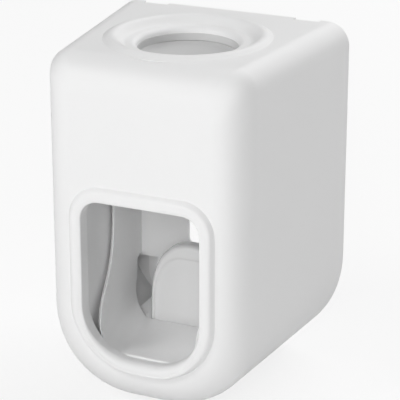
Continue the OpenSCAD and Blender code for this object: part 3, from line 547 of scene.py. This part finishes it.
def make_housing():
    """Tapered shell with its window frame, tube collar, notches and screw posts."""
    shell = body_form("housing_shell", 0.0, 0.0, 14)
    cavity = body_form("cavity", WALL, 1.0, 10)
    more = 0.5
    half, low, high = WINDOW_W / 2 + more, WINDOW_LOW - more, WINDOW_TOP + more
    opening = round_rect(half, low, high, WINDOW_TOP_R + more, 24, WINDOW_LOW_R + more)
    window = slab("window_cut", opening, FRONT_Y - 3, FRONT_Y + WALL + 3)
    # The cut for the tube reaches under the ring, so that the shell's flat top doesn't cover the dish
    hole_r = RING_R - DISH_CUT_IN
    hole = rod("hole_cut", (0, TUBE_Y, ROOF_Z - 3), (0, TUBE_Y, TOP_AT_TUBE + 3), hole_r, 96)
    notches = []
    for x in (-NOTCH_X, NOTCH_X):
        low, high = BODY_H / 2 - WALL - 2, BODY_H / 2 + 2
        notches.append(block("notch_cut", (x - NOTCH_HALF, -NOTCH_Y, low), (x + NOTCH_HALF, NOTCH_Y, high)))
    combine(shell, [cavity, window, hole] + notches, "DIFFERENCE")
    frame_ring = sweep_closed("window_frame", window_rings())
    collar = on_top(revolve("collar", collar_profile(), 144))
    combine(shell, [frame_ring, collar] + inner_wall() + screw_posts(), "UNION")
    combine(shell, pilot_holes(), "DIFFERENCE")
    settle(shell)
    give(shell, SHELL)
    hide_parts("housing")
    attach(shell, "body")


# Brush chute


def clamp(value):
    """The value, held between 0 and 1."""
    return min(1.0, max(0.0, value))


def bezier(points, t):
    """Point of a Bezier curve, by repeated halving of its control line."""
    while len(points) > 1:
        points = [tuple(a + (b - a) * t for a, b in zip(p, q)) for p, q in zip(points, points[1:])]
    return points[0]


CHEEK_EDGE = [bezier(CHEEK_UPPER, i / 24) for i in range(25)]
CHEEK_EDGE += [bezier(CHEEK_LOWER, i / 12) for i in range(1, 13)]


def cheek_y(z):
    """Depth of the front edge of the cheeks at height z."""
    heights = [p[1] for p in reversed(CHEEK_EDGE)]
    depths = [p[0] for p in reversed(CHEEK_EDGE)]
    return float(np.interp(z, heights, depths))


def trough_point(u, y, out):
    """Point of half the chute's section at depth y, moved out by out.

    u runs down the cheek from 0 to 1, around the corner to 2 and along the floor to 3 at the middle.
    """
    share = (y - CHUTE_FRONT_Y) / (CHUTE_REAR_Y - CHUTE_FRONT_Y)
    half = CHUTE_FRONT_HALF + (CHUTE_REAR_HALF - CHUTE_FRONT_HALF) * share
    radius = BOWL_FRONT_R + (BOWL_REAR_R - BOWL_FRONT_R) * share
    floor = LIP_Z - BOWL_FALL * math.sin(math.pi / 2 * clamp((y - CHUTE_FRONT_Y) / BOWL_RUN))
    if u <= 1:
        return half + out, WINDOW_TOP + (floor + radius - WINDOW_TOP) * u
    if u <= 2:
        a = math.pi / 2 * (u - 1)
        return half - radius + (radius + out) * math.cos(a), floor + radius - (radius + out) * math.sin(a)
    return (half - radius) * (3 - u), floor - out


def edge_start(u):
    """Depth at which the chute begins at u: the curve of the cheeks, or the lip."""
    y = CHUTE_FRONT_Y
    for _ in range(30):
        y = 0.5 * y + 0.5 * cheek_y(trough_point(u, y, 0)[1])
    return max(y, CHUTE_FRONT_Y)


def edge_end(u):
    """Depth at which the chute ends at u: behind the back wall, or around the opening for the pad."""
    z = trough_point(u, BAY_FRONT_Y, 0)[1]
    step = clamp((z - BAY_EDGE_TOP) / BAY_EDGE_SOFT)
    step = step * step * (3 - 2 * step)
    if u <= 1:
        low = BAY_FRONT_Y - BAY_SIDE_LEAD * u ** 6
    elif u <= 2:
        low = BAY_FRONT_Y - BAY_SIDE_LEAD - BAY_CORNER_LEAD * (u - 1)
    else:
        corner_end = BAY_FRONT_Y - BAY_SIDE_LEAD - BAY_CORNER_LEAD
        low = corner_end - BAY_FLOOR_LEAD * math.sin(math.pi / 2 * clamp((u - 2) / 0.25))
    return low + (CHUTE_REAR_Y + CHUTE_T - low) * step


def half_stations():
    """Values of u from a cheek's top to the middle of the floor, close together at the bay's upper edge."""
    cheek = [0.9 * i / 30 for i in range(30)] + [0.9 + 0.1 * i / 12 for i in range(12)]
    z_low, z_high = trough_point(1, BAY_FRONT_Y, 0)[1], trough_point(0, BAY_FRONT_Y, 0)[1]
    for z in np.linspace(BAY_EDGE_TOP + 0.8, BAY_EDGE_TOP - 0.2, 9):
        cheek.append((z_high - z) / (z_high - z_low))
    round_corner = [1 + i / 20 for i in range(20)]
    floor = [2 + i / 30 for i in range(10)] + [2.3 + i / 10 for i in range(8)]
    return sorted(set(cheek)) + round_corner + floor


def round_off(radius, depth):
    """How far a rounded edge lies inside its wall's face, at a depth behind the edge."""
    return radius - math.sqrt(max(0.0, radius ** 2 - max(0.0, radius - depth) ** 2))


def edge_section(depth, keen):
    """Inner and outer offset of the chute's wall at a depth behind its front edge.

    keen 0 is a full round of the whole wall, keen 1 a thin edge that grows to the wall over EDGE_TAPER.
    """
    round_in, keen_in = round_off(CHUTE_T / 2, depth), round_off(KEEN_T / 2, depth)
    grown = clamp((depth - KEEN_T / 4) / EDGE_TAPER)
    keen_out = KEEN_T - keen_in + (CHUTE_T - KEEN_T) * grown * (2 - grown)
    return (1 - keen) * round_in + keen * keen_in, (1 - keen) * (CHUTE_T - round_in) + keen * keen_out


def chute_trough():
    """Curved trough, thinned towards the cheeks' front edge, with a full round at its lip and rear edge."""
    us = half_stations()
    sides = [(-1, u) for u in us] + [(1, u) for u in reversed(us[:-1])]
    starts = {u: edge_start(u) for u in us}
    ends = {u: edge_end(u) for u in us}
    keen = {u: 1.0 - clamp((u - KEEN_TO_U) / KEEN_FADE_U) for u in us}
    mid = CHUTE_T / 2
    front = [0.0, 0.03, 0.08, 0.14, 0.22, 0.32, 0.46, 0.65, 1.0, 1.5, 2.1, EDGE_TAPER + 0.05]
    rings = [("front", depth) for depth in front] + [("middle", j / 24) for j in range(1, 24)]
    rings += [("rear", math.radians(turn)) for turn in range(90, -1, -15)]
    sections = []
    for kind, value in rings:
        inner, outer = [], []
        for side, u in sides:
            first, last = starts[u] + front[-1], ends[u] - mid
            if kind == "front":
                y, (near, far) = starts[u] + value, edge_section(value, keen[u])
            elif kind == "middle":
                y, near, far = first + (last - first) * value, 0.0, CHUTE_T
            else:
                y, half_wall = ends[u] - mid * (1 - math.cos(value)), mid * math.sin(value)
                near, far = mid - half_wall, mid + half_wall
            for wall, out in ((inner, near), (outer, far)):
                x, z = trough_point(u, y, out)
                wall.append((side * x, y, z))
        sections.append(inner + outer[::-1])
    return face_outwards(weld(loft("chute", sections, caps=False)))


def soft_hole(outline_at, y0, y1, soft):
    """Cutter for a hole with rounded rims; outline_at(more) gives its outline grown by more."""
    front = [(y0 - 1, soft)]
    for turn in range(0, 91, 15):
        a = math.radians(turn)
        front.append((y0 + soft * (1 - math.cos(a)), soft * (1 - math.sin(a))))
    rear = [(y0 + y1 - y, more) for y, more in reversed(front)]
    return loft("hole", [[(x, y, z) for x, z in outline_at(more)] for y, more in front + rear])


def make_chute():
    """Brush chute: trough, back wall with two openings, recess and pocket for the pad, and screw ears."""
    wall_end, joined = CHUTE_REAR_Y + CHUTE_T, 0.05
    floor = LIP_Z - BOWL_FALL
    tray_top = floor - TRAY_DROP
    tray_low = tray_top - TRAY_T
    shelf_low, shelf_top = BAY_TOP - BAY_STEP, BAY_TOP - 1
    chute = chute_trough()
    back_half = CHUTE_REAR_HALF + CHUTE_T / 2
    back = round_rect(back_half, shelf_low, BACK_WALL_TOP, 1.0, 10, 0.3)
    recess = round_rect(BAY_BACK_HALF, tray_low, shelf_top, 0.6, 10, 6.0)
    bed = round_rect(POCKET_HALF + CHUTE_T, POCKET_LOW - CHUTE_T, floor - 0.3, 0.4, 8, POCKET_R + CHUTE_T)
    inside_y = BAY_REAR_Y - 0.3
    parts = [
        slab("back", back, CHUTE_REAR_Y, wall_end - joined),
        slab("recess", recess, BAY_REAR_Y - CHUTE_T, BAY_REAR_Y),
        block("shelf", (-BAY_BACK_HALF, wall_end - 0.6, shelf_low), (BAY_BACK_HALF, inside_y, shelf_top)),
        block("tray", (-TRAY_HALF, POCKET_FRONT_Y - 0.5, tray_low), (TRAY_HALF, inside_y, tray_top)),
        slab("pocket", bed, POCKET_FRONT_Y - CHUTE_T, BAY_FRONT_Y + 0.5),
    ]
    for x in (-EAR_X, EAR_X):
        x0, x1 = sorted((x, math.copysign(EAR_X - 3.3, x)))
        rear_y = wall_end - joined
        parts.append(rod("ear", (x, CHUTE_REAR_Y, EAR_Z), (x, rear_y, EAR_Z), EAR_R, 40))
        parts.append(block("ear", (x0, CHUTE_REAR_Y, EAR_Z - EAR_R), (x1, rear_y, EAR_Z + EAR_R)))
    combine(chute, parts, "UNION")

    def view(more):
        """Outline of the opening in the back wall, grown by more."""
        return round_rect(VIEW_HALF + more, VIEW_LOW - more, BACK_WALL_TOP - 2.5 + more, VIEW_R + more, 12)

    bay = round_rect(BAY_HALF, BAY_LOW, BAY_TOP, 1.5, 8)
    pocket = round_rect(POCKET_HALF, POCKET_LOW, floor - joined, POCKET_R, 8)
    holes = [
        soft_hole(view, CHUTE_REAR_Y, wall_end - joined, 0.3),
        slab("lever_slot", bay, BAY_FRONT_Y, 6.0),
        slab("pocket_cut", pocket, POCKET_FRONT_Y, BAY_FRONT_Y + 1),
    ]
    for x in (-EAR_X, EAR_X):
        holes.append(rod("ear_hole", (x, CHUTE_REAR_Y - 1, EAR_Z), (x, 0, EAR_Z), EAR_HOLE_R, 24))
    combine(chute, holes, "DIFFERENCE")
    settle(chute, 32.0)
    give(chute, INNER_WHITE_PAINTED_LIGHTER)
    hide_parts("brush_chute")
    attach(chute, "body")


# Push pad


def arch(half, low, top, shoulder_x, shoulder_z, low_radius, steps=24):
    """Outline of the pad: a broad soft arch above, small corners below."""
    points = []
    for side, order in ((1, range(steps + 1)), (-1, range(steps, -1, -1))):
        for i in order:
            a = math.pi / 2 * i / steps
            c, z = max(0.0, math.cos(a)) ** (2 / PAD_ARCH), math.sin(a) ** (2 / PAD_ARCH)
            points.append((side * (half - shoulder_x * (1 - c)), top - shoulder_z * (1 - z)))
    return (
        points + corner(-half + low_radius, low + low_radius, low_radius, 2, 180, 12)
        + corner(half - low_radius, low + low_radius, low_radius, 2, 270, 12)
    )


def make_pad():
    """Tray-shaped pad: a rounded border, broad at the top, around a shallow field; its rear is hollow."""
    half = PAD_W / 2
    # Sides in, top in, height above the face plane, share of the way from the outer arch to the field's
    levels = [
        (PAD_RIM, PAD_RIM, -PAD_T, 0.0), (0.0, 0.0, -PAD_T, 0.0), (0.0, 0.0, -0.9, 0.0),
        (0.03, 0.05, -0.55, 0.0), (0.12, 0.2, -0.2, 0.0), (0.26, 0.42, 0.12, 0.0), (0.45, 0.7, 0.36, 0.05),
        (0.66, 1.05, 0.52, 0.15), (0.85, 1.5, 0.6, 0.3), (1.0, 2.6, 0.55, 0.7), (1.08, 3.4, 0.46, 0.95),
        (1.16, 3.75, 0.34, 1.0), (1.3, 4.0, 0.12, 1.0), (1.5, 4.25, -0.04, 1.0), (1.85, 4.65, -0.13, 1.0),
        (2.6, 5.5, -0.2, 1.0), (4.6, 7.6, -0.22, 1.0),
    ]
    rings = []
    for side_in, top_in, height, share in levels:
        inner_half = half - side_in
        reach_x = inner_half - FIELD_FLAT * share
        outline = arch(
            inner_half, PAD_LOW + side_in, PAD_TOP - top_in, reach_x, PAD_SHOULDER - top_in,
            max(PAD_LOW_R - side_in, 0.3),
        )
        rings.append([(x, PAD_Y - height, z) for x, z in outline])
    rim = PAD_RIM
    hollow = arch(half - rim, PAD_LOW + rim, PAD_TOP - rim, half - rim, PAD_SHOULDER - rim, PAD_LOW_R - rim)
    rings.insert(0, [(x, PAD_Y + PAD_HOLLOW, z) for x, z in hollow])
    pad = loft("pad_tray", rings)
    settle(pad, 50.0)
    give(pad, PAD)
    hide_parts("push_pad")
    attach(pad, "lever")


# Tube seat


def make_seat():
    """The CAD's tube seat with a thin soft lip that lines the collar above it."""
    cad = frame["nodes"]["tube_seat"]
    top, low = -DISH_DEPTH - DISH_EDGE, -WALL - SKIRT_LEN - 0.1
    out, mid, inside = HOLE_R - 0.01, HOLE_R - 0.5 * SEAT_LIP_T, HOLE_R - SEAT_LIP_T
    profile = [(out, low), (out, top), (mid, top - 0.05), (inside, top - 0.2), (inside, low)]
    lip = on_top(revolve("lip", profile, 96))
    mesh = bmesh.new()
    mesh.from_mesh(cad.data)
    bmesh.ops.transform(mesh, matrix=Matrix.Scale(1000.0, 4) @ cad.matrix_world, verts=mesh.verts)
    mesh.from_mesh(lip.data)
    mesh.to_mesh(lip.data)
    mesh.free()
    settle(lip)
    give(lip, SILICONE)
    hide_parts("tube_seat")
    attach(lip, "body")


# Dressing the CAD pieces


def dress_nodes():
    """Gives each CAD node the material of its slot."""
    slots = {entry["node"]: entry["material_slot"] for entry in frame["record"]["subparts"]}
    for name, obj in frame["nodes"].items():
        give(obj, BY_SLOT[slots[name]])


# Stage


def make_stage():
    """Pale floor under the object; it looks white to the camera but keeps the shadow."""
    floor_z = -BODY_H / 2 / 1000 - FLOOR_GAP
    bpy.ops.mesh.primitive_plane_add(size=FLOOR_SIZE, location=(0, 0, floor_z))
    floor = bpy.context.object
    floor.name = "floor"
    material = bpy.data.materials.new("floor_white")
    material.use_nodes = True
    nodes, links = material.node_tree.nodes, material.node_tree.links
    shader = nodes["Principled BSDF"]
    shader.inputs["Base Color"].default_value = (0.86, 0.86, 0.86, 1.0)
    shader.inputs["Roughness"].default_value = 0.7
    white = nodes.new("ShaderNodeEmission")
    white.inputs["Color"].default_value = (1.0, 1.0, 1.0, 1.0)
    path = nodes.new("ShaderNodeLightPath")
    share = nodes.new("ShaderNodeMath")
    share.operation = "MULTIPLY"
    share.inputs[1].default_value = FLOOR_WHITE
    mix = nodes.new("ShaderNodeMixShader")
    links.new(path.outputs["Is Camera Ray"], share.inputs[0])
    links.new(share.outputs["Value"], mix.inputs["Fac"])
    links.new(shader.outputs["BSDF"], mix.inputs[1])
    links.new(white.outputs["Emission"], mix.inputs[2])
    links.new(mix.outputs["Shader"], nodes["Material Output"].inputs["Surface"])
    give(floor, material)


def make_world():
    """World that is white to the camera and gives the object almost no light."""
    world = bpy.data.worlds.new("studio")
    bpy.context.scene.world = world
    world.use_nodes = True
    nodes, links = world.node_tree.nodes, world.node_tree.links
    background = nodes["Background"]
    background.inputs["Color"].default_value = (1.0, 1.0, 1.0, 1.0)
    path = nodes.new("ShaderNodeLightPath")
    seen = nodes.new("ShaderNodeMath")
    seen.operation = "MAXIMUM"
    links.new(path.outputs["Is Camera Ray"], seen.inputs[0])
    links.new(path.outputs["Is Transmission Ray"], seen.inputs[1])
    strength = nodes.new("ShaderNodeMapRange")
    strength.inputs["To Min"].default_value = WORLD_LIGHT
    strength.inputs["To Max"].default_value = 1.0
    links.new(seen.outputs["Value"], strength.inputs["Value"])
    links.new(strength.outputs["Result"], background.inputs["Strength"])


# Lights

# Name, place and side length in metres, and watts
LAMPS = (
    ("near_camera", (0.4, -1.25, 0.45), 0.6, 6.9),
    ("front_left_high", (-0.75, -0.8, 0.8), 0.5, 6.0),
    ("front_left", (-0.5, -1.2, 0.3), 0.3, 1.2),
    ("front_high", (0.0, -0.9, 0.95), 0.5, 1.4),
    ("back", (0.3, 0.9, 0.8), 1.5, 17.0),
)
LAMP_AIM = (0, -0.03, 0)


def softbox(name, place, aim, size, watts):
    """Square area light at place, in metres, that faces aim."""
    data = bpy.data.lights.new(name, "AREA")
    data.shape = "SQUARE"
    data.size = size
    data.energy = watts
    lamp = bpy.data.objects.new(name, data)
    lamp.location = place
    lamp.rotation_euler = (Vector(aim) - Vector(place)).to_track_quat("-Z", "Y").to_euler()
    bpy.context.scene.collection.objects.link(lamp)


def make_lights():
    """Four soft lamps in front of the object, and a larger one above and behind it."""
    for name, place, size, watts in LAMPS:
        softbox(name, place, LAMP_AIM, size, watts)


# Camera

# Degrees, metres, and the photograph's pixels for the focal length and the optical centre
CAMERA_YAW, CAMERA_PITCH, CAMERA_ROLL = 24.552, 20.580, -0.0495
CAMERA_PLACE = (0.18927, -0.43654, 0.16933)
CAMERA_FOCAL_PX, IMAGE_PX = 1857.7, 400
CAMERA_CENTRE_PX = (196.8, 207.2)
SENSOR_MM = 36.0


def make_camera():
    """Camera at the photograph's viewpoint."""
    yaw, pitch, roll = (math.radians(a) for a in (CAMERA_YAW, CAMERA_PITCH, CAMERA_ROLL))
    flat = Vector((-math.sin(yaw), math.cos(yaw), 0))
    right = Vector((math.cos(yaw), math.sin(yaw), 0))
    up = Vector((0, 0, 1))
    ahead = math.cos(pitch) * flat - math.sin(pitch) * up
    above = math.sin(pitch) * flat + math.cos(pitch) * up
    right_rolled = math.cos(roll) * right + math.sin(roll) * above
    up_rolled = -math.sin(roll) * right + math.cos(roll) * above
    data = bpy.data.cameras.new("camera")
    data.sensor_width = SENSOR_MM
    data.lens = SENSOR_MM * CAMERA_FOCAL_PX / IMAGE_PX
    data.shift_x = (IMAGE_PX / 2 - CAMERA_CENTRE_PX[0]) / IMAGE_PX
    data.shift_y = (CAMERA_CENTRE_PX[1] - IMAGE_PX / 2) / IMAGE_PX
    data.clip_start, data.clip_end = 0.02, 20.0
    camera = bpy.data.objects.new("camera", data)
    turn = Matrix((right_rolled, up_rolled, -ahead)).transposed().to_4x4()
    camera.matrix_world = Matrix.Translation(CAMERA_PLACE) @ turn
    bpy.context.scene.collection.objects.link(camera)
    bpy.context.scene.camera = camera


dress_nodes()
make_housing()
make_chute()
make_pad()
make_seat()
make_stage()
make_world()
make_lights()
make_camera()
bpy.context.scene.view_settings.view_transform = "Standard"
